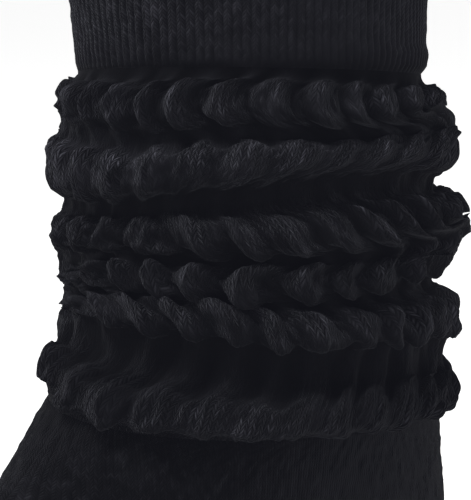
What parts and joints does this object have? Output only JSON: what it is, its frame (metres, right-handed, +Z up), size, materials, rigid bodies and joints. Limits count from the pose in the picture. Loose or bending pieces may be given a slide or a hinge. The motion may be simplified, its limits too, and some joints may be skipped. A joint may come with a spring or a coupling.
{
  "type": "slouch sock",
  "caption": "Worn slouch sock in black knit: a fine ribbed cuff, a wide-ribbed leg pushed down into deep uneven folds, and a plain closed foot, hollow from cuff to toe.",
  "frame": {"origin": "centre of the cuff's open mouth, where the wearer's leg holds the sock", "axes": "+Z up along the leg and out of the mouth, -Y towards the toe, X across the foot"},
  "size_m": [0.0976, 0.2433, 0.218],
  "materials": {
    "cuff_knit": "matt fine ribbed cotton knit",
    "leg_knit": "matt soft wide-ribbed cotton knit, slightly fuzzy",
    "foot_knit": "matt plain cotton knit"
  },
  "bodies": {
    "root": {"ribbed_cuff": "cuff_knit", "slouched_leg": "leg_knit", "foot": "foot_knit"}
  },
  "joints": []
}
